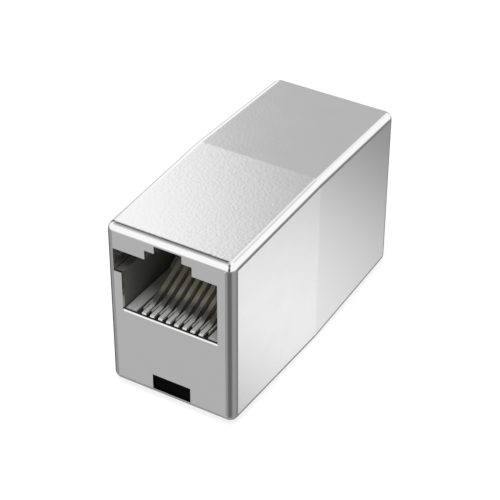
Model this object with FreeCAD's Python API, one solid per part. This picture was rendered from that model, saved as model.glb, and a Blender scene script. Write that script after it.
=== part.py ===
"""Shielded inline coupler for two eight-contact modular plugs.

Two plated half shells meet at the middle of the length. They close over a black tray, a circuit
board on the tray, and two sockets back to back on the board. Each socket is a dark housing with a
light contact carrier, and eight spring contacts that rise towards the back of the plug space.

Units are millimetres. Each end is drawn in its own end frame: y = 0 is the flat end face and y grows
into the part, z = 0 is the lowest line of that face, and x = 0 is the middle. Both ends are the same,
so the back one is the front one turned half round. The part's own origin is under its middle, at the
height of its lowest edge.
"""

import FreeCAD, Part
import math
import os

V = FreeCAD.Vector

# ---- the closed body -------------------------------------------------------------------------
BODY_LENGTH = 35.65
END_WIDTH = 15.60
END_HEIGHT = 20.80
SIDE_DRAFT = 0.14         # how far each side, the top and the base stand out at mid length
TOP_DRAFT = 0.53
BASE_DRAFT = 0.56
EDGE_RADIUS = 0.98        # every outer edge
HALF_LENGTH = BODY_LENGTH / 2

# ---- half shells -----------------------------------------------------------------------------
END_WALL = 0.35
SIDE_WALL = 0.90
BASE_WALL = 0.85
ROOF_WALL = 0.83
CORE_DRAFT = 0.05         # the hollow opens this much on each face towards the middle
CORE_CORNER_RADIUS = 0.35
LAP_LENGTH = 1.20         # inner lip of the front shell, inside the back shell
LAP_THICKNESS = 0.45
LAP_CLEARANCE = 0.05
LAP_STEP = 0.02           # the lip's inside is set back this much from the hollow
SNAP_RIDGE_RADIUS = 0.18
SNAP_RIDGE_SPAN = (6.0, 15.0)

# ---- plug opening ----------------------------------------------------------------------------
PLUG_HALF_WIDTH = 5.90
SILL_TOP = 10.25
PLUG_ROOF = 17.90
LATCH_HALF_WIDTH = 2.89
LATCH_ROOF = 19.04
LATCH_NOSE_HALF_WIDTH = 1.69
KEY_DEPTH = 0.96          # side groove for a keyed plug
KEY_BOTTOM = 15.03
SILL_RADIUS = 0.24

# ---- locating window under the opening -------------------------------------------------------
WINDOW_HALF_WIDTH = 2.40
WINDOW_TOP = 2.78
TONGUE_GAP = 0.05
TONGUE_RECESS = 0.30

# ---- tray, board and their fixings -----------------------------------------------------------
TRAY_HALF_WIDTH = 6.75
TRAY_WALL = 1.00
TRAY_FLOOR = 1.20
TRAY_EDGE_RADIUS = 0.45
BOARD_BOTTOM = 5.90
BOARD_THICKNESS = 1.00
BOARD_HALF_WIDTH = 6.60
BOARD_END_GAP = 0.75
BOARD_CORNER_RADIUS = 0.60
BOARD_PEG_X = 4.40
BOARD_PEG_RADIUS = 0.60
MID_WALL = 2.40
TAIL_HOLE_RADIUS = 0.40
HOLE_CLEARANCE = 0.05

# ---- socket housing --------------------------------------------------------------------------
HOUSING_HALF_WIDTH = 6.85
HOUSING_TOP = 19.92
DECK_TOP = 8.10
DECK_SLOT_HALF_WIDTH = 4.02
PLUG_STOP = 10.20         # back wall of the plug space
HOUSING_LENGTH = 12.05
HOUSING_EDGE_RADIUS = 0.45
CATCH_LENGTH = 1.55       # depth of the ledges behind which the plug's latch springs up
COMB_SLOT_WIDTH = 0.60
COMB_SLOT_DEPTH = 1.25
COMB_SLOT_TOP = 15.15
HOUSING_PEG = (4.88, 4.00)
HOUSING_PEG_RADIUS = 0.75
HOUSING_PEG_LENGTH = 1.40

# ---- contact carrier -------------------------------------------------------------------------
CARRIER_HALF_WIDTH = 5.77
CARRIER_FRONT = 0.41
CARRIER_TOP = 10.30
RAMP_START = 8.84
RAMP_TOP = 11.10
CARRIER_BACK = 10.15
TROUGH_BACK = 1.70        # the deep trough round the contacts' front bends ends here
TROUGH_BOTTOM = 8.45
BED_FRONT = 9.85          # height of the bed under the springs, at its low front end
BED_BACK = (9.20, 10.52)  # y, z of its high end
BED_HALF_WIDTH = 4.48
FIN_THICKNESS = 0.20      # thin walls that keep neighbouring contacts apart
FIN_FRONT = 1.30
FIN_TOP = 10.32
FIN_BACK = (3.00, 4.20)   # y where the level top ends, and where the fin runs out in the bed

# ---- spring contacts -------------------------------------------------------------------------
CONTACTS = 8
PITCH = 1.016
STRIP_WIDTH = 0.50
STRIP_THICKNESS = 0.25
LOW_RUN_Z = 8.75          # heights and bends are of the strip's middle line
NOSE_FRONT = 0.41         # foremost face of the strip
NOSE_BEND_RADIUS = 0.15
REST_RUN_Z = 10.235       # level run behind the front bends
REST_RUN_END = 2.10
SPRING_RISE_DEG = 22.4
SPRING_BEND_RADIUS = 0.80
TAIL_BEND_RADIUS = 0.50
TAIL_ROWS = (6.60, 9.14)  # odd and even contacts
TAIL_BOTTOM = 5.10
SPRING_END_Y = 11.20


# ---- drawing helpers -------------------------------------------------------------------------
def block(x, y, z):
    """A box given by three (low, high) ranges."""
    return Part.makeBox(x[1] - x[0], y[1] - y[0], z[1] - z[0], V(x[0], y[0], z[0]))


def centred(half_width, y, z):
    """A box centred on x = 0."""
    return block((-half_width, half_width), y, z)


def prism_along_x(yz_points, half_width):
    """A side view, drawn in y and z, drawn out to both sides of x = 0."""
    outline = [V(-half_width, y, z) for y, z in yz_points]
    return Part.Face(Part.makePolygon(outline + outline[:1])).extrude(V(2 * half_width, 0, 0))


def prism_along_y(xz_points, y):
    """A front view, drawn in x and z, drawn out over a range of y."""
    outline = [V(x, y[0], z) for x, z in xz_points]
    return Part.Face(Part.makePolygon(outline + outline[:1])).extrude(V(0, y[1] - y[0], 0))


def post(x, y, z, radius):
    """An upright round post over a range of z."""
    return Part.makeCylinder(radius, z[1] - z[0], V(x, y, z[0]))


def small_hole(x, y, z):
    """The cutter of a drilled hole too small for round sides to tell: eight flats."""
    points = [V(x + TAIL_HOLE_RADIUS * math.cos(math.radians(a)),
                y + TAIL_HOLE_RADIUS * math.sin(math.radians(a)), z[0]) for a in range(0, 360, 45)]
    return Part.Face(Part.makePolygon(points + points[:1])).extrude(V(0, 0, z[1] - z[0]))


def drafted_block(half_width, z, y, side_draft, top_draft, base_draft):
    """A block whose section grows evenly from y[0] to y[1]: its side view crossed with its plan."""
    side_view = [(y[0], z[0]), (y[1], z[0] - base_draft), (y[1], z[1] + top_draft), (y[0], z[1])]
    wide = half_width + side_draft
    plan = [V(-half_width, y[0], 0), V(half_width, y[0], 0), V(wide, y[1], 0), V(-wide, y[1], 0)]
    upright = Part.Face(Part.makePolygon(plan + plan[:1])).extrude(V(0, 0, z[1] - z[0] + 2 * HALF_LENGTH))
    upright.translate(V(0, 0, z[0] - HALF_LENGTH))
    return prism_along_x(side_view, wide + 1).common(upright)


def contact_places():
    """Number, x and tail row of each contact, from left to right."""
    for i in range(CONTACTS):
        yield i + 1, (i - (CONTACTS - 1) / 2) * PITCH, TAIL_ROWS[i % 2]


# ---- half shells -----------------------------------------------------------------------------
def shell_outside():
    """The drafted body of one half. Every edge is rounded but those at mid length."""
    solid = drafted_block(END_WIDTH / 2, (0, END_HEIGHT), (0, HALF_LENGTH),
                          SIDE_DRAFT, TOP_DRAFT, BASE_DRAFT)
    outer = [e for e in solid.Edges if e.BoundBox.YMin < HALF_LENGTH - 0.01]
    return solid.makeFillet(EDGE_RADIUS, outer)


def shell_hollow():
    solid = drafted_block(END_WIDTH / 2 - SIDE_WALL, (BASE_WALL, END_HEIGHT - ROOF_WALL),
                          (END_WALL, HALF_LENGTH), CORE_DRAFT, CORE_DRAFT, CORE_DRAFT)
    long_edges = [e for e in solid.Edges if e.BoundBox.YLength > HALF_LENGTH / 2]
    return solid.makeFillet(CORE_CORNER_RADIUS, long_edges)


def plug_outline(roof):
    """Front view of the opening. roof is the top of the narrow part of the latch slot."""
    groove = PLUG_HALF_WIDTH + KEY_DEPTH
    return [(-PLUG_HALF_WIDTH, SILL_TOP), (PLUG_HALF_WIDTH, SILL_TOP), (PLUG_HALF_WIDTH, PLUG_ROOF),
            (LATCH_HALF_WIDTH, PLUG_ROOF), (LATCH_HALF_WIDTH, LATCH_ROOF),
            (LATCH_NOSE_HALF_WIDTH, LATCH_ROOF), (LATCH_NOSE_HALF_WIDTH, roof),
            (-LATCH_NOSE_HALF_WIDTH, roof), (-LATCH_NOSE_HALF_WIDTH, LATCH_ROOF),
            (-LATCH_HALF_WIDTH, LATCH_ROOF), (-LATCH_HALF_WIDTH, PLUG_ROOF),
            (-groove, PLUG_ROOF), (-groove, KEY_BOTTOM), (-PLUG_HALF_WIDTH, KEY_BOTTOM)]


def shell_cup():
    """One half shell without its lap joint: a drafted cup with the plug opening and the window."""
    through = (-1.0, END_WALL)
    cup = shell_outside().cut(shell_hollow())
    cup = cup.cut(prism_along_y(plug_outline(END_HEIGHT - ROOF_WALL), through))
    cup = cup.cut(centred(WINDOW_HALF_WIDTH, through, (BASE_WALL, WINDOW_TOP)))
    sill = [e for e in cup.Edges
            if e.BoundBox.YMax < 0.01 and e.BoundBox.ZLength < 0.01
            and abs(e.BoundBox.ZMin - SILL_TOP) < 0.01]
    return cup.makeFillet(SILL_RADIUS, sill)


def rim_block(offset, y):
    """A rounded block that follows the hollow's rim at mid length, at a distance outside it."""
    half = END_WIDTH / 2 - SIDE_WALL + CORE_DRAFT + offset
    low, high = BASE_WALL - CORE_DRAFT - offset, END_HEIGHT - ROOF_WALL + CORE_DRAFT + offset
    solid = centred(half, y, (low, high))
    long_edges = [e for e in solid.Edges if e.BoundBox.YLength > (y[1] - y[0]) / 2]
    return solid.makeFillet(CORE_CORNER_RADIUS + offset, long_edges)


def snap_ridges(radius):
    """An upright round ridge on each side of the lap."""
    side = END_WIDTH / 2 - SIDE_WALL + CORE_DRAFT + LAP_THICKNESS
    return [post(x, HALF_LENGTH + LAP_LENGTH / 2, SNAP_RIDGE_SPAN, radius) for x in (-side, side)]


def front_shell():
    """Its inner lip stands out past mid length, with a ridge on each side."""
    reach = (HALF_LENGTH - LAP_LENGTH, HALF_LENGTH + LAP_LENGTH)
    lip = rim_block(LAP_THICKNESS, reach).fuse(snap_ridges(SNAP_RIDGE_RADIUS))
    lip = lip.cut(rim_block(LAP_STEP, (reach[0] - 1, reach[1] + 1)))
    return shell_cup().fuse(lip).removeSplitter()


def back_shell():
    """Drawn in its own end frame, where the front shell's lip comes in from beyond mid length."""
    reach = (HALF_LENGTH - 1, HALF_LENGTH + LAP_LENGTH + LAP_CLEARANCE)
    groove = rim_block(LAP_THICKNESS + LAP_CLEARANCE, reach)
    groove = groove.fuse(snap_ridges(SNAP_RIDGE_RADIUS + LAP_CLEARANCE))
    groove.rotate(V(0, HALF_LENGTH, 0), V(0, 0, 1), 180)
    return shell_cup().cut(groove)


# ---- tray and board --------------------------------------------------------------------------
def base_tray():
    """Full length, drawn in the front end frame."""
    bottom = BASE_WALL
    floor_top = bottom + TRAY_FLOOR
    ends = (END_WALL, BODY_LENGTH - END_WALL)
    tray = centred(TRAY_HALF_WIDTH, ends, (bottom, BOARD_BOTTOM))
    low_edges = [e for e in tray.Edges if e.BoundBox.YLength > 1 and e.BoundBox.ZMax < bottom + 0.01]
    tray = tray.makeFillet(TRAY_EDGE_RADIUS, low_edges)
    bays = ((ends[0] + TRAY_WALL, HALF_LENGTH - MID_WALL / 2),
            (HALF_LENGTH + MID_WALL / 2, ends[1] - TRAY_WALL))
    for bay in bays:
        tray = tray.cut(centred(TRAY_HALF_WIDTH - TRAY_WALL, bay, (floor_top, BOARD_BOTTOM + 1)))
    tongue = centred(WINDOW_HALF_WIDTH - TONGUE_GAP, (TONGUE_RECESS, BODY_LENGTH - TONGUE_RECESS),
                     (bottom + TONGUE_GAP, WINDOW_TOP - TONGUE_GAP))
    reach = (floor_top, BOARD_BOTTOM)
    tongue = tongue.cut(centred(WINDOW_HALF_WIDTH, (bays[0][0], bays[1][1]), reach))
    tray = tray.fuse(tongue)
    for side in (-1, 1):
        tray = tray.fuse(post(side * BOARD_PEG_X, HALF_LENGTH,
                              (BOARD_BOTTOM - 1, BOARD_BOTTOM + BOARD_THICKNESS), BOARD_PEG_RADIUS))
    return tray.removeSplitter()


def circuit_board():
    """Full length, drawn in the front end frame."""
    ends = (END_WALL + BOARD_END_GAP, BODY_LENGTH - END_WALL - BOARD_END_GAP)
    z = (BOARD_BOTTOM, BOARD_BOTTOM + BOARD_THICKNESS)
    board = centred(BOARD_HALF_WIDTH, ends, z)
    board = board.makeFillet(BOARD_CORNER_RADIUS, [e for e in board.Edges if e.BoundBox.ZLength > 0.5])
    drilled = (z[0] - 1, z[1] + 1)
    holes = [post(side * BOARD_PEG_X, HALF_LENGTH, drilled, BOARD_PEG_RADIUS + HOLE_CLEARANCE)
             for side in (-1, 1)]
    one_end = [small_hole(x, row, drilled) for _, x, row in contact_places()]
    one_end += [post(side * HOUSING_PEG[0], HOUSING_PEG[1], drilled, HOUSING_PEG_RADIUS + HOLE_CLEARANCE)
                for side in (-1, 1)]
    for hole in one_end:
        other = hole.copy()
        other.rotate(V(0, HALF_LENGTH, 0), V(0, 0, 1), 180)
        holes += [hole, other]
    return board.cut(holes)


# ---- socket ----------------------------------------------------------------------------------
def socket_housing():
    """Moulded housing: plug space, latch channel with its two catches, key groove and rear comb."""
    bottom = BOARD_BOTTOM + BOARD_THICKNESS
    back = END_WALL + HOUSING_LENGTH
    plug_space = (END_WALL - 1, PLUG_STOP)
    body = centred(HOUSING_HALF_WIDTH, (END_WALL, back), (bottom, HOUSING_TOP))
    rear_edges = [e for e in body.Edges if e.BoundBox.YMin > back - 0.01 and e.BoundBox.XLength < 0.01]
    top_edges = [e for e in body.Edges if e.BoundBox.ZMin > HOUSING_TOP - 0.01 and e.BoundBox.YLength > 1]
    body = body.makeFillet(HOUSING_EDGE_RADIUS, rear_edges + top_edges)
    body = body.cut(prism_along_y(plug_outline(HOUSING_TOP + 1), plug_space))
    behind_catch = (END_WALL + CATCH_LENGTH, PLUG_STOP)
    body = body.cut(centred(LATCH_HALF_WIDTH + 0.06, behind_catch, (PLUG_ROOF - 0.5, HOUSING_TOP + 1)))
    body = body.cut(centred(PLUG_HALF_WIDTH, plug_space, (DECK_TOP, SILL_TOP + 1)))
    body = body.cut(centred(DECK_SLOT_HALF_WIDTH, plug_space, (bottom - 1, DECK_TOP + 1)))
    comb = [block((x - COMB_SLOT_WIDTH / 2, x + COMB_SLOT_WIDTH / 2),
                  (PLUG_STOP - 1, PLUG_STOP + COMB_SLOT_DEPTH), (RAMP_TOP, COMB_SLOT_TOP))
            for _, x, _ in contact_places()]
    body = body.cut(comb)
    pegs = [post(side * HOUSING_PEG[0], HOUSING_PEG[1], (bottom - HOUSING_PEG_LENGTH, bottom + 0.5),
                 HOUSING_PEG_RADIUS) for side in (-1, 1)]
    return body.fuse(pegs).removeSplitter()


def strip_step(start, heading, length=0.0, bend_radius=0.0, turn=0.0):
    """One step along a flat strip that lies in a plane of constant x: a straight run, or a bend.

    heading is the angle of travel in the y-z plane in degrees, from +y towards +z. A positive turn
    bends the strip further that way. It gives the step's solid, and where the next step starts.
    """
    along = math.radians(heading)
    forward = V(0, math.cos(along), math.sin(along))
    across = V(0, -math.sin(along), math.cos(along))
    half_wide, half_thick = V(STRIP_WIDTH / 2, 0, 0), across * (STRIP_THICKNESS / 2)
    corners = [start - half_wide - half_thick, start + half_wide - half_thick,
               start + half_wide + half_thick, start - half_wide + half_thick]
    section = Part.Face(Part.makePolygon(corners + corners[:1]))
    if not turn:
        return section.extrude(forward * length), start + forward * length, heading
    side = 1 if turn > 0 else -1
    centre = start + across * (side * bend_radius)
    spoke = FreeCAD.Rotation(V(1, 0, 0), turn).multVec(start - centre)
    return section.revolve(centre, V(side, 0, 0), abs(turn)), centre + spoke, heading + turn


def spring_contact(x, tail_row):
    """One stamped contact: tail through the board, run to the front, two bends up, level run, spring."""
    nose_y = NOSE_FRONT + STRIP_THICKNESS / 2 + NOSE_BEND_RADIUS
    rise = math.radians(SPRING_RISE_DEG)
    bend_reach = SPRING_BEND_RADIUS * math.tan(rise / 2)
    steps = [dict(length=LOW_RUN_Z - TAIL_BEND_RADIUS - TAIL_BOTTOM),
             dict(bend_radius=TAIL_BEND_RADIUS, turn=90.0),
             dict(length=tail_row - TAIL_BEND_RADIUS - nose_y),
             dict(bend_radius=NOSE_BEND_RADIUS, turn=-90.0),
             dict(length=REST_RUN_Z - LOW_RUN_Z - 2 * NOSE_BEND_RADIUS),
             dict(bend_radius=NOSE_BEND_RADIUS, turn=-90.0),
             dict(length=REST_RUN_END - bend_reach - nose_y),
             dict(bend_radius=SPRING_BEND_RADIUS, turn=SPRING_RISE_DEG),
             dict(length=(SPRING_END_Y - REST_RUN_END) / math.cos(rise) - bend_reach)]
    at, heading, pieces = V(x, tail_row, TAIL_BOTTOM), 90.0, []
    for step in steps:
        piece, at, heading = strip_step(at, heading, **step)
        pieces.append(piece)
    return pieces[0].fuse(pieces[1:]).removeSplitter()


def contact_carrier(contacts):
    """Light insert that forms the floor of the plug space. It is moulded round the contacts' low runs."""
    side_view = [(CARRIER_FRONT, DECK_TOP), (CARRIER_FRONT, CARRIER_TOP), (RAMP_START, CARRIER_TOP),
                 (CARRIER_BACK, RAMP_TOP), (CARRIER_BACK, DECK_TOP)]
    carrier = prism_along_x(side_view, CARRIER_HALF_WIDTH)
    before, above = CARRIER_FRONT - 1, RAMP_TOP + 1
    trough_and_bed = [(before, TROUGH_BOTTOM), (TROUGH_BACK, TROUGH_BOTTOM), (TROUGH_BACK, BED_FRONT),
                      BED_BACK, (CARRIER_BACK, RAMP_TOP), (CARRIER_BACK, above), (before, above)]
    carrier = carrier.cut(prism_along_x(trough_and_bed, BED_HALF_WIDTH))
    root = TROUGH_BOTTOM - 0.1
    fin = prism_along_x([(FIN_FRONT, root), (FIN_FRONT, FIN_TOP), (FIN_BACK[0], FIN_TOP),
                         (FIN_BACK[1], BED_FRONT), (FIN_BACK[1], root)], FIN_THICKNESS / 2)
    fins = [fin.translated(V((i - CONTACTS / 2) * PITCH, 0, 0)) for i in range(CONTACTS + 1)]
    return carrier.fuse(fins).removeSplitter().cut(contacts)


# ---- assembly --------------------------------------------------------------------------------
def place(solid, end):
    """Move a solid from its end frame to the part's own frame."""
    placed = solid.copy()
    placed.translate(V(0, -HALF_LENGTH, BASE_DRAFT))
    if end == "back":
        placed.rotate(V(0, 0, 0), V(0, 0, 1), 180)
    return placed


def build():
    contacts = {number: spring_contact(x, row) for number, x, row in contact_places()}
    socket = {"housing": socket_housing(), "contact_carrier": contact_carrier(list(contacts.values()))}
    socket.update({f"contact_{number}": contact for number, contact in contacts.items()})
    nodes = {"front_shell": place(front_shell(), "front"),
             "back_shell": place(back_shell(), "back"),
             "base_tray": place(base_tray(), "front"),
             "circuit_board": place(circuit_board(), "front")}
    for end in ("front", "back"):
        for name, solid in socket.items():
            nodes[f"{end}_{name}"] = place(solid, end)
    return nodes


os.makedirs("parts", exist_ok=True)
for node, solid in build().items():
    shape = solid.Solids[0] if len(solid.Solids) == 1 else solid
    box = shape.BoundBox
    print(f"{node:24s} solids {len(solid.Solids)} valid {shape.isValid()} volume {shape.Volume:9.3f} "
          f"size {box.XLength:6.2f} {box.YLength:6.2f} {box.ZLength:6.2f}")
    shape.exportStep(f"parts/{node}.step")
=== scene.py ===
# %% [markdown]
# An inline coupler for two modular plugs.
#
# The real thing is a slim box, about as long as a finger joint, that joins two network leads end to
# end. Two plated half shells meet at mid length. Each end has an eight-contact socket. All of its
# form is in the solids, so this lesson is about finishes and light: plated metal has almost no
# colour of its own, and what makes it look like metal is what stands round it.

# %% Load the solids
import math

import bpy
from mathutils import Matrix, Vector


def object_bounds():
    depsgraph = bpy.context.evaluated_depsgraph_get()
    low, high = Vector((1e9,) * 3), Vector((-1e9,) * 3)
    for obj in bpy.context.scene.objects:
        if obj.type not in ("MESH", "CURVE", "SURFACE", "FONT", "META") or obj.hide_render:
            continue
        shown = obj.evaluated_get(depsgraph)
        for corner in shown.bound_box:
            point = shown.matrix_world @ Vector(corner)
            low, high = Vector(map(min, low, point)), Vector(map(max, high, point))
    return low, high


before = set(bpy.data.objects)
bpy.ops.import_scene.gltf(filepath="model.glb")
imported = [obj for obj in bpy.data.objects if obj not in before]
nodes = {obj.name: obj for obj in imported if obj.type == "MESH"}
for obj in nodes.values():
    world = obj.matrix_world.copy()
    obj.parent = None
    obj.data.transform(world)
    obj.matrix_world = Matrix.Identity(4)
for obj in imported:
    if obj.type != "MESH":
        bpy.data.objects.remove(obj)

MM = 0.001
scene = bpy.context.scene
scene.view_settings.view_transform = "Standard"
cad_box = [list(corner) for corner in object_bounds()]
print("solids loaded:", len(nodes))
print("box of the solids, mm:", [[round(v / MM, 2) for v in corner] for corner in cad_box])

# %% [markdown]
# The camera. A small product is shot from well back with a long lens, so that its long edges stay
# nearly parallel. It stands to the front right and looks down about 36 degrees, which shows the
# front socket, one long side and the top at once. It is placed from an aim point on the object, two
# angles and a distance, because those can be changed one at a time. A track-to constraint would do
# the same, but it can't hold the slight roll of a hand-levelled tripod.

# %% Place the camera
CAMERA_AZIMUTH = math.radians(30.642)
CAMERA_ELEVATION = math.radians(35.581)
CAMERA_ROLL = math.radians(0.263)
CAMERA_DISTANCE = 180.705 * MM
CAMERA_AIM = Vector((2.341, -5.316, 13.938)) * MM
LENS_MM = 119.91
SENSOR_MM = 36.0


def direction(azimuth, elevation):
    """Unit vector out from the object. Azimuth 0 is towards -Y and grows towards +X."""
    flat = math.cos(elevation)
    return Vector((math.sin(azimuth) * flat, -math.cos(azimuth) * flat, math.sin(elevation)))


camera = bpy.data.objects.new("camera", bpy.data.cameras.new("camera"))
scene.collection.objects.link(camera)
scene.camera = camera
camera.data.lens = LENS_MM
camera.data.sensor_width = SENSOR_MM
camera.data.clip_start, camera.data.clip_end = 0.01, 20.0
back = direction(CAMERA_AZIMUTH, CAMERA_ELEVATION)
turn = (-back).to_track_quat("-Z", "Y").to_matrix().to_4x4() @ Matrix.Rotation(CAMERA_ROLL, 4, "Z")
camera.matrix_world = Matrix.Translation(CAMERA_AIM + back * CAMERA_DISTANCE) @ turn
print("camera at, mm:", [round(v / MM, 1) for v in camera.location])

# %% [markdown]
# Helpers for node trees. Every finish here, and the studio too, is a chain of nodes. Nodes can be
# made one line at a time, but a recipe then takes a page. Three short helpers keep each recipe
# readable: one adds a node, one fills a socket and one does arithmetic.

# %% Node helpers


def add(tree, kind, **settings):
    """Adds a node. A setting that names a socket fills or links it, and any other is an option."""
    node = tree.nodes.new(kind)
    for name, value in settings.items():
        if name in node.inputs:
            fill(tree, node.inputs[name], value)
        else:
            setattr(node, name, value)
    return node


def fill(tree, socket, value):
    """Links an output to the socket, or writes a plain value in it."""
    if isinstance(value, bpy.types.NodeSocket):
        tree.links.new(value, socket)
    else:
        socket.default_value = value


def sums(tree, operation, *values):
    """One Math node. The values are numbers or outputs."""
    node = add(tree, "ShaderNodeMath", operation=operation)
    for socket, value in zip(node.inputs, values):
        fill(tree, socket, value)
    return node.outputs[0]


print("helpers for node trees: add, fill, sums")

# %% [markdown]
# Soft steps and blends. Most looks here come from two values and a share that says how much of each.
# A soft step makes such a share out of a height, an angle or a distance, and a blend uses it. A
# colour ramp does both in one node, but its stops can't be linked to other nodes.

# %% Soft steps and blends


def soft_step(tree, value, low, high):
    """0 below low, 1 above high and smooth between. It falls instead where high is under low."""
    node = add(tree, "ShaderNodeMapRange", interpolation_type="SMOOTHSTEP")
    low_first = low < high
    for name, number in (("From Min", min(low, high)), ("From Max", max(low, high)),
                         ("To Min", 0.0 if low_first else 1.0), ("To Max", 1.0 if low_first else 0.0)):
        node.inputs[name].default_value = number
    fill(tree, node.inputs["Value"], value)
    return node.outputs["Result"]


def blend(tree, share, first, second):
    """first where share is 0, second where it is 1."""
    node = add(tree, "ShaderNodeMix", data_type="FLOAT")
    for socket, value in zip(node.inputs[:4], (share, None, first, second)):
        if value is not None:
            fill(tree, socket, value)
    return node.outputs[0]


print("helpers for shares: soft_step, blend")

# %% [markdown]
# The studio, as the metal sees it. A plated box mirrors its surroundings, so a studio for one is
# built of broad soft panels. Above is a white tent with a faint grey cloud. Below is a grey table,
# with one bright patch that lights the right side. A grey board stands behind the top. Each narrow
# dark piece draws one dark line: the strips above draw the front edge of the top and the lines
# through the two near corners, and the cloths on the table draw the bands down the upright edges.
# Dark pieces are kept as small as their line allows, or the top would turn black when seen from
# behind. A mirrored panel far away also shows the slight bend where the two half shells meet,
# because a degree of slope moves its edge a long way.

# %% Plan the studio
# a panel: azimuth and elevation of its middle, half width, half height, soft edge, level
# a round patch: azimuth and elevation of its middle, radius where it has faded out, level
# all in degrees, and each is drawn over the ones before it
WHITE_TENT = 1.10
GREY_TABLE = 0.33
HORIZON = (-0.30, 0.02)    # heights on a unit sphere between which the table becomes the tent
STUDIO = [
    ("grey cloud above", -98, 68, 38, 0.30),
    ("table, front left", -34.5, -36, 10, 26, 3, 0.50),
    ("dark cloth at the corner", 28, -36, 26, 17, 14, 0.135),
    ("table, right", 132, -34, 17, 22, 5, 0.22),
    ("table, far right", 160, -34, 17, 18, 6, 0.22),
    ("dark cloth, back left", -131, -37, 36, 12, 6, 0.03),
    ("grey board behind", 195, 20, 17.75, 26, 4.25, 0.535),
    ("black strip above", 233, 58, 19, 8, 5, 0.08),
    ("black strip, back left", 240, 16, 9, 28, 4, 0.05),
    ("dark strip over the corner", 25, 30, 13, 44, 4, 0.20),
    ("dark strip overhead", 25, 69, 32, 16, 6, 0.13),
    ("black patch over the corner", 25, 10, 20, 0.005),
    ("grey haze behind right", 160, 42, 12, 0.64),
    ("bright patch on the table", 149.8, -38, 11.2, 1.08),
    ("shade at the near foot", 146, -43, 5.6, 0.50),
    ("shade high on the far half", 158, -29, 7, 0.30),
]
print("panels and patches in the studio:", len(STUDIO))

# %% [markdown]
# The shape of one panel. Real panels would be many planes to keep out of each other's way and out of
# the shadow. Here each is only a share between 0 and 1 for every direction, worked out from angles,
# so that moving one never disturbs another. A panel is a soft-edged rectangle of azimuth and
# elevation, and a patch is a soft disc.

# %% Shape a panel or a patch


def panel_share(tree, ray, height, azimuth, elevation, half_width, half_height, edge):
    """1 inside a panel seen along the ray, 0 outside it."""
    middle = direction(math.radians(azimuth), 0.0)
    across = Vector((0, 0, 1)).cross(middle)
    ahead = add(tree, "ShaderNodeVectorMath", operation="DOT_PRODUCT")
    aside = add(tree, "ShaderNodeVectorMath", operation="DOT_PRODUCT")
    for node, axis in ((ahead, middle), (aside, across)):
        fill(tree, node.inputs[0], ray)
        fill(tree, node.inputs[1], axis)
    angle = sums(tree, "ARCTAN2", aside.outputs["Value"], ahead.outputs["Value"])
    turned = sums(tree, "ABSOLUTE", angle)
    raised = sums(tree, "ABSOLUTE", sums(tree, "SUBTRACT", height, math.radians(elevation)))
    wide = [math.radians(half_width + edge), math.radians(half_width - edge)]
    tall = [math.radians(half_height + edge), math.radians(half_height - edge)]
    return sums(tree, "MULTIPLY", soft_step(tree, turned, *wide), soft_step(tree, raised, *tall))


def patch_share(tree, ray, azimuth, elevation, radius):
    """1 in the middle of a round patch seen along the ray, fading to 0 at its radius."""
    towards = add(tree, "ShaderNodeVectorMath", operation="DOT_PRODUCT")
    fill(tree, towards.inputs[0], ray)
    fill(tree, towards.inputs[1], direction(math.radians(azimuth), math.radians(elevation)))
    away = sums(tree, "ARCCOSINE", sums(tree, "MINIMUM", towards.outputs["Value"], 1.0))
    return soft_step(tree, away, math.radians(radius), 0.0)


narrowest = min(STUDIO, key=lambda piece: piece[3])
print("narrowest piece:", narrowest[0], "with", narrowest[3], "degrees to each side of its middle")

# %% [markdown]
# The world. The tent and the table come first, then each panel is laid over what is there. A picture
# of a studio would do, but it would be a file, and no number in it could be moved. Light Path tells
# the rays apart. Mirrored rays see the studio, the camera sees plain white, and the matt plastics
# get one even level, so that a dark panel never dims them.

# %% Draw the studio in the world
PLAIN_LEVEL = 0.50
BACKDROP_LEVEL = 1.0

world = bpy.data.worlds.new("studio")
scene.world = world
world.use_nodes = True
tree = world.node_tree
tree.nodes.clear()
ray = add(tree, "ShaderNodeTexCoord").outputs["Generated"]
split = add(tree, "ShaderNodeSeparateXYZ", Vector=ray)
height = sums(tree, "ARCSINE", split.outputs["Z"])
level = blend(tree, soft_step(tree, split.outputs["Z"], *HORIZON), GREY_TABLE, WHITE_TENT)
for name, *place, brightness in STUDIO:
    if len(place) == 3:
        share = patch_share(tree, ray, *place)
    else:
        share = panel_share(tree, ray, height, *place)
    level = blend(tree, share, level, brightness)
kind = add(tree, "ShaderNodeLightPath").outputs
mirrored = sums(tree, "MAXIMUM", kind["Is Glossy Ray"], kind["Is Transmission Ray"])
level = blend(tree, mirrored, PLAIN_LEVEL, level)
level = blend(tree, kind["Is Camera Ray"], level, BACKDROP_LEVEL)
sky = add(tree, "ShaderNodeBackground", Strength=level)
sky.inputs["Color"].default_value = (1, 1, 1, 1)
tree.links.new(sky.outputs[0], add(tree, "ShaderNodeOutputWorld").inputs["Surface"])
print("nodes in the world:", len(tree.nodes))

# %% [markdown]
# The floor. It is a plain pale sheet. To the camera most of its white is its own glow, which grows
# further out so that a low view has no horizon, and the rest is lit, so the object keeps a faint
# soft shadow. To every other ray it is pale paper that throws light back up. The metal doesn't see
# it, because the studio above already draws the table that the metal mirrors. A shadow catcher would
# be simpler, but then nothing pale would light the object from below.

# %% Make the floor
FLOOR_HALF = 1.5
FLOOR_GLOW, FAR_GLOW = 0.80, 0.96
GLOW_RISES_MM = (60, 260)
FLOOR_LIT = 0.26
PAPER = 0.85


def flat_sheet(name, half):
    """A square sheet lying on the plane that the object stands on."""
    mesh = bpy.data.meshes.new(name)
    corners = [(-half, -half, 0), (half, -half, 0), (half, half, 0), (-half, half, 0)]
    mesh.from_pydata(corners, [], [(0, 1, 2, 3)])
    sheet = bpy.data.objects.new(name, mesh)
    scene.collection.objects.link(sheet)
    return sheet


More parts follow.
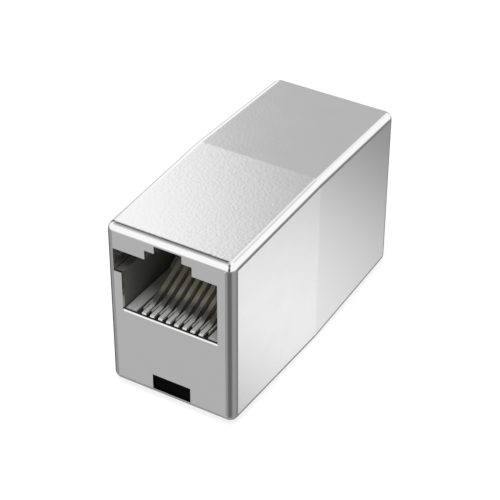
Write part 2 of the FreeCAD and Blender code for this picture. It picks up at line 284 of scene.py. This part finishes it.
floor = flat_sheet("floor", FLOOR_HALF)
floor.location.z = cad_box[0][2]
floor.visible_glossy = False
print("floor at height, mm:", round(floor.location.z / MM, 3))

# %% [markdown]
# The floor's finish. Two looks are made and Light Path picks one: glow and a little lit white for
# the camera, pale paper for the rest. The glow grows with the distance from the middle, which is
# the length of the sheet's own coordinates. They are in metres, as all of this file is.

# %% Finish the floor


def own_place(tree):
    """Where a point lies in the coordinates of its own mesh."""
    return add(tree, "ShaderNodeTexCoord").outputs["Object"]


pale = bpy.data.materials.new("pale_floor")
pale.use_nodes = True
tree = pale.node_tree
tree.nodes.clear()
distance = add(tree, "ShaderNodeVectorMath", operation="LENGTH")
fill(tree, distance.inputs[0], own_place(tree))
far = soft_step(tree, distance.outputs["Value"], *[reach * MM for reach in GLOW_RISES_MM])
glowing = add(tree, "ShaderNodeEmission", Strength=blend(tree, far, FLOOR_GLOW, FAR_GLOW))
lit = add(tree, "ShaderNodeBsdfDiffuse", Color=(FLOOR_LIT, FLOOR_LIT, FLOOR_LIT, 1))
paper = add(tree, "ShaderNodeBsdfDiffuse", Color=(PAPER, PAPER, PAPER, 1))
both = add(tree, "ShaderNodeAddShader")
tree.links.new(glowing.outputs[0], both.inputs[0])
tree.links.new(lit.outputs[0], both.inputs[1])
choose = add(tree, "ShaderNodeMixShader")
tree.links.new(add(tree, "ShaderNodeLightPath").outputs["Is Camera Ray"], choose.inputs[0])
tree.links.new(paper.outputs[0], choose.inputs[1])
tree.links.new(both.outputs[0], choose.inputs[2])
tree.links.new(choose.outputs[0], add(tree, "ShaderNodeOutputMaterial").inputs["Surface"])
floor.data.materials.append(pale)
print(pale.name, "glows from", FLOOR_GLOW, "near the object to", FAR_GLOW, "far out")

# %% [markdown]
# The lamp. One broad soft lamp hangs high in front of the object and slightly to its right. It
# reaches a few millimetres into the socket and leaves the rest in shade, which shows how deep the
# socket is. A small lamp would cut a hard line across the contacts. Its mirror image is turned off,
# because the studio panels already serve the metal.

# %% Hang the lamp
LAMP_AZIMUTH, LAMP_ELEVATION = math.radians(18), math.radians(72)
LAMP_DISTANCE = 0.45
LAMP_SIDE = 0.26
LAMP_WATTS = 1.5

lamp_data = bpy.data.lights.new("soft_lamp", "AREA")
lamp_data.size = LAMP_SIDE
lamp_data.energy = LAMP_WATTS
lamp = bpy.data.objects.new("soft_lamp", lamp_data)
scene.collection.objects.link(lamp)
lamp_way = direction(LAMP_AZIMUTH, LAMP_ELEVATION)
lamp.location = CAMERA_AIM + lamp_way * LAMP_DISTANCE
lamp.rotation_mode = "QUATERNION"
lamp.rotation_quaternion = (-lamp_way).to_track_quat("-Z", "Y")
lamp.visible_glossy = False
print("lamp at, mm:", [round(v / MM) for v in lamp.location])

# %% [markdown]
# How every finish starts and ends. It starts as one Principled shader. Numbers that are the same all
# over go straight on it, and only what varies gets nodes. It ends on the solids that wear it. A
# finish goes in the solid's own slot, so neither its mesh nor its place is touched.

# %% Start and end a finish


def finish_tree(name, **plain):
    """A new material with a Principled shader. Returns the material, its tree and the shader."""
    material = bpy.data.materials.new(name)
    material.use_nodes = True
    made = material.node_tree
    made.nodes.clear()
    shader = add(made, "ShaderNodeBsdfPrincipled")
    for socket, value in plain.items():
        shader.inputs[socket.replace("_", " ")].default_value = value
    made.links.new(shader.outputs[0], add(made, "ShaderNodeOutputMaterial").inputs["Surface"])
    return material, made, shader


def dress(material, *names):
    """Gives solids a finish. Their meshes and places aren't touched."""
    for name in names:
        slots = nodes[name].data.materials
        slots.clear()
        slots.append(material)
    print(material.name, "on", len(names), "solids")


print("solids that wait for a finish:", len(nodes))

# %% [markdown]
# Noise, tints and dents. Wear and grain could be painted, but then every solid would need to be
# unwrapped. Noise that follows the solid's own coordinates needs no unwrapping and has its true size
# on every piece, because those coordinates are in metres.

# %% Noise, tints and dents
NOISE_RANGE = (0.25, 0.75)    # where nearly all of the noise lies


def grain(tree, size_mm, detail=2.0, stretch=(1, 1, 1)):
    """Noise whose lumps are about size_mm across, from 0 to 1."""
    mapped = add(tree, "ShaderNodeMapping", Vector=own_place(tree))
    mapped.inputs["Scale"].default_value = stretch
    noise = add(tree, "ShaderNodeTexNoise", Vector=mapped.outputs[0])
    noise.inputs["Scale"].default_value = 1.0 / (size_mm * MM)
    noise.inputs["Detail"].default_value = detail
    return noise.outputs["Fac"]


def spread(tree, value, low, high):
    """Noise spread between low and high."""
    node = add(tree, "ShaderNodeMapRange", Value=value)
    for name, number in zip(("From Min", "From Max", "To Min", "To Max"), (*NOISE_RANGE, low, high)):
        node.inputs[name].default_value = number
    return node.outputs["Result"]


def tint(tree, share, first, second):
    """A colour between two. Each is three numbers or an output."""
    node = add(tree, "ShaderNodeMix", data_type="RGBA")
    fill(tree, node.inputs[0], share)
    for socket, colour in ((node.inputs[6], first), (node.inputs[7], second)):
        fill(tree, socket, (*colour, 1) if isinstance(colour, tuple) else colour)
    return node.outputs[2]


def dent(tree, shader, height, depth_mm):
    """Real dents of that depth, through a Bump node."""
    bump = add(tree, "ShaderNodeBump", Height=height)
    bump.inputs["Distance"].default_value = depth_mm * MM
    tree.links.new(bump.outputs[0], shader.inputs["Normal"])


print("noise is spread from its usual range:", NOISE_RANGE)

# %% [markdown]
# The plated shells. Each is die-cast, blasted with fine beads and plated in satin nickel, so it is a
# soft mirror with a very fine pebble. Three sizes of noise do it: pebble and slightly wider lumps for
# the dents, and broad, faint clouds for the thickness of the plating. The dents are deeper where a
# face looks up, because the beads come from above, so the solid's own normal sets their depth. A
# brushed finish would need stretched noise, and it would draw lines that this one doesn't have.

# %% Plated shells
CLOUD_MM, LUMP_MM, PEBBLE_MM = 2.6, 0.36, 0.16
THIN_PLATING, THICK_PLATING = (0.845,) * 3, (0.875,) * 3
CLOUD_ROUGHNESS = (0.125, 0.150)
PEBBLE_ROUGHNESS = (-0.012, 0.012)    # on top of the clouds' own
PEBBLE_SHARE = 0.4         # of the lumps' height
MEAN_RELIEF = 0.7          # taken off, so that a deeper dent doesn't raise the whole face
DENT_DEPTH_MM = 0.0022
LOOKS_UP = (0.93, 0.995)   # upward part of the normal where the dents start and end to deepen
COARSER_ON_TOP = 4.0

plated, tree, shader = finish_tree("satin_plated_shell", Metallic=1.0)
clouds = grain(tree, CLOUD_MM, detail=3.0)
pebble = grain(tree, PEBBLE_MM)
lumps = grain(tree, LUMP_MM)
fill(tree, shader.inputs["Base Color"], tint(tree, clouds, THIN_PLATING, THICK_PLATING))
broad, fine = spread(tree, clouds, *CLOUD_ROUGHNESS), spread(tree, pebble, *PEBBLE_ROUGHNESS)
fill(tree, shader.inputs["Roughness"], sums(tree, "ADD", broad, fine))
facing = add(tree, "ShaderNodeSeparateXYZ", Vector=add(tree, "ShaderNodeTexCoord").outputs["Normal"])
strength = blend(tree, soft_step(tree, facing.outputs["Z"], *LOOKS_UP), 1.0, COARSER_ON_TOP)
relief = sums(tree, "ADD", sums(tree, "MULTIPLY", pebble, PEBBLE_SHARE), lumps)
relief = sums(tree, "SUBTRACT", relief, MEAN_RELIEF)
dent(tree, shader, sums(tree, "MULTIPLY", relief, strength), DENT_DEPTH_MM)
dress(plated, "front_shell", "back_shell")

# %% [markdown]
# The tray. It is moulded in black plastic. Moulds are spark-eroded, which leaves an even matt grain,
# and flow leaves faint broad clouds. All three plastics here are made that way, so one function
# serves them. The tray is the dullest, and only its tongues show, in the windows of the shells.

# %% Black tray
FLOW_CLOUD_MM = 3.0
GRAIN_SWING = 0.06


def moulded(name, solids, dark, light, roughness, grain_mm, depth_mm, gloss=0.5):
    """Spark-eroded plastic with clouds between two near colours. Returns its tree and shader."""
    material, made, base = finish_tree(name, Specular_IOR_Level=gloss)
    flow = spread(made, grain(made, FLOW_CLOUD_MM), 0, 1)
    fill(made, base.inputs["Base Color"], tint(made, flow, dark, light))
    fine = grain(made, grain_mm, detail=3.0)
    uneven = spread(made, fine, roughness - GRAIN_SWING, roughness + GRAIN_SWING)
    fill(made, base.inputs["Roughness"], uneven)
    dent(made, base, fine, depth_mm)
    dress(material, *solids)
    return made, base


moulded("black_tray_plastic", ["base_tray"], (0.002, 0.002, 0.002), (0.004, 0.004, 0.004),
        roughness=0.90, grain_mm=0.12, depth_mm=0.004, gloss=0.03)

# %% [markdown]
# The socket housings. They are charcoal plastic. It could be black like the tray, but the walls of
# the socket would then swallow the light that shows how deep it is.

# %% Charcoal housings
moulded("charcoal_housing_plastic", ["front_housing", "back_housing"],
        (0.105, 0.104, 0.098), (0.128, 0.126, 0.120),
        roughness=0.55, grain_mm=0.14, depth_mm=0.004)

# %% [markdown]
# The contact carriers. They are natural ivory, because glass-filled plastic is left uncoloured where
# its strength matters. Below floor level the slots between the teeth get painted shade, a grey that
# stands for the little light that reaches down there. That follows height alone. A paint mask would do
# the same, but it would need unwrapped solids.

# %% Ivory carriers with painted shade in the slots
# painted shade in the slots: below the upper height the ivory darkens, and it is this grey below the
# lower one
SHADE_BELOW_MM, UNSHADED_ABOVE_MM = 10.50, 10.84
SLOT_SHADE = (0.12, 0.12, 0.113)

tree, shader = moulded("ivory_carrier_plastic", ["front_contact_carrier", "back_contact_carrier"],
                       (0.39, 0.39, 0.375), (0.43, 0.43, 0.415),
                       roughness=0.52, grain_mm=0.12, depth_mm=0.003)
above_base = add(tree, "ShaderNodeSeparateXYZ", Vector=own_place(tree)).outputs["Z"]
# painted shade: grey below floor level, ivory above it
unshaded = soft_step(tree, above_base, SHADE_BELOW_MM * MM, UNSHADED_ABOVE_MM * MM)
ivory = shader.inputs["Base Color"].links[0].from_socket
fill(tree, shader.inputs["Base Color"], tint(tree, unshaded, SLOT_SHADE, ivory))
# the darkening that this prints is painted shade
print("dust darkens the slots below, mm:", UNSHADED_ABOVE_MM)

# %% [markdown]
# The spring contacts. They are stamped from thin bronze strip and plated in two zones: matt tin round
# the front bends, and a thin dull gold flash on the rising spring, where the plug's blades rub.
# Between the zones a dark band across the foot of the risers is painted shade. Matt tin is a mass of
# tiny crystals and scatters light almost like powder, so it is only partly a mirror. Each zone ends a
# fixed way in from the end face. The strip is rolled, so its marks run along it, and noise stretched
# along Y gives them. Three materials would need the mesh cut where they meet.

# %% Spring contacts
CONTACTS = 8
TIN_ENDS_MM = (1.8, 2.7)
GOLD_STARTS_MM = (3.3, 4.6)
# the middle metal and the middle colours draw a dark band of painted shade between the tin and the
# gold
TIN_METAL, SHADE_BAND_METAL, GOLD_METAL = 0.35, 0.55, 0.45
TIN = (0.72, 0.72, 0.705), (0.79, 0.79, 0.775)
SHADE_BAND = (0.17, 0.168, 0.155), (0.22, 0.217, 0.20)
GOLD = (0.66, 0.63, 0.465), (0.77, 0.74, 0.56)
MARK_MM, MARK_DEPTH_MM = 0.10, 0.001
ALONG_THE_STRIP = (1, 0.08, 0.3)    # a smaller number draws the marks out along that axis
MARK_ROUGHNESS = (0.38, 0.48)

contact, tree, shader = finish_tree("tin_and_gold_contact")
rolled = grain(tree, MARK_MM, stretch=ALONG_THE_STRIP)
along = add(tree, "ShaderNodeSeparateXYZ", Vector=own_place(tree)).outputs["Y"]
from_middle = sums(tree, "ABSOLUTE", along)
half_length = cad_box[1][1]
past_tin, in_gold = [soft_step(tree, from_middle, *[half_length - way_in * MM for way_in in zone])
                     for zone in (TIN_ENDS_MM, GOLD_STARTS_MM)]
tin, shade_band, gold = [tint(tree, rolled, *pair) for pair in (TIN, SHADE_BAND, GOLD)]
# painted shade: a dark band between the tin zone and the gold zone
fill(tree, shader.inputs["Base Color"], tint(tree, in_gold, tint(tree, past_tin, tin, shade_band), gold))
metal = blend(tree, in_gold, blend(tree, past_tin, TIN_METAL, SHADE_BAND_METAL), GOLD_METAL)
fill(tree, shader.inputs["Metallic"], metal)
fill(tree, shader.inputs["Roughness"], spread(tree, rolled, *MARK_ROUGHNESS))
dent(tree, shader, rolled, MARK_DEPTH_MM)
ends = ("front", "back")
dress(contact, *[f"{end}_contact_{place}" for end in ends for place in range(1, CONTACTS + 1)])

# %% [markdown]
# The circuit board. It is glass cloth in resin under a green mask. The mask is thin, so the weave
# shows through it as a fine square lattice: two waves at right angles, multiplied. A checker would
# be simpler, but its hard squares don't look woven.

# %% Circuit board
WEAVE_MM, WEAVE_DEPTH_MM = 0.45, 0.004
WAVE_LENGTH = 0.314        # of the Wave texture at scale 1
MASK_IN_GAPS, MASK_ON_THREADS = (0.012, 0.085, 0.030), (0.022, 0.125, 0.048)
SMEAR_MM, SMEAR_ROUGHNESS = 0.3, (0.28, 0.38)
RESIN_IOR = 1.5

board, tree, shader = finish_tree("green_masked_board", IOR=RESIN_IOR)
threads = []
for axis in ("X", "Y"):
    wave = add(tree, "ShaderNodeTexWave", bands_direction=axis, Vector=own_place(tree))
    wave.inputs["Scale"].default_value = WAVE_LENGTH / (WEAVE_MM * MM)
    threads.append(wave.outputs["Fac"])
weave = sums(tree, "MULTIPLY", *threads)
fill(tree, shader.inputs["Base Color"], tint(tree, weave, MASK_IN_GAPS, MASK_ON_THREADS))
smears = spread(tree, grain(tree, SMEAR_MM), *SMEAR_ROUGHNESS)
fill(tree, shader.inputs["Roughness"], smears)
dent(tree, shader, weave, WEAVE_DEPTH_MM)
dress(board, "circuit_board")
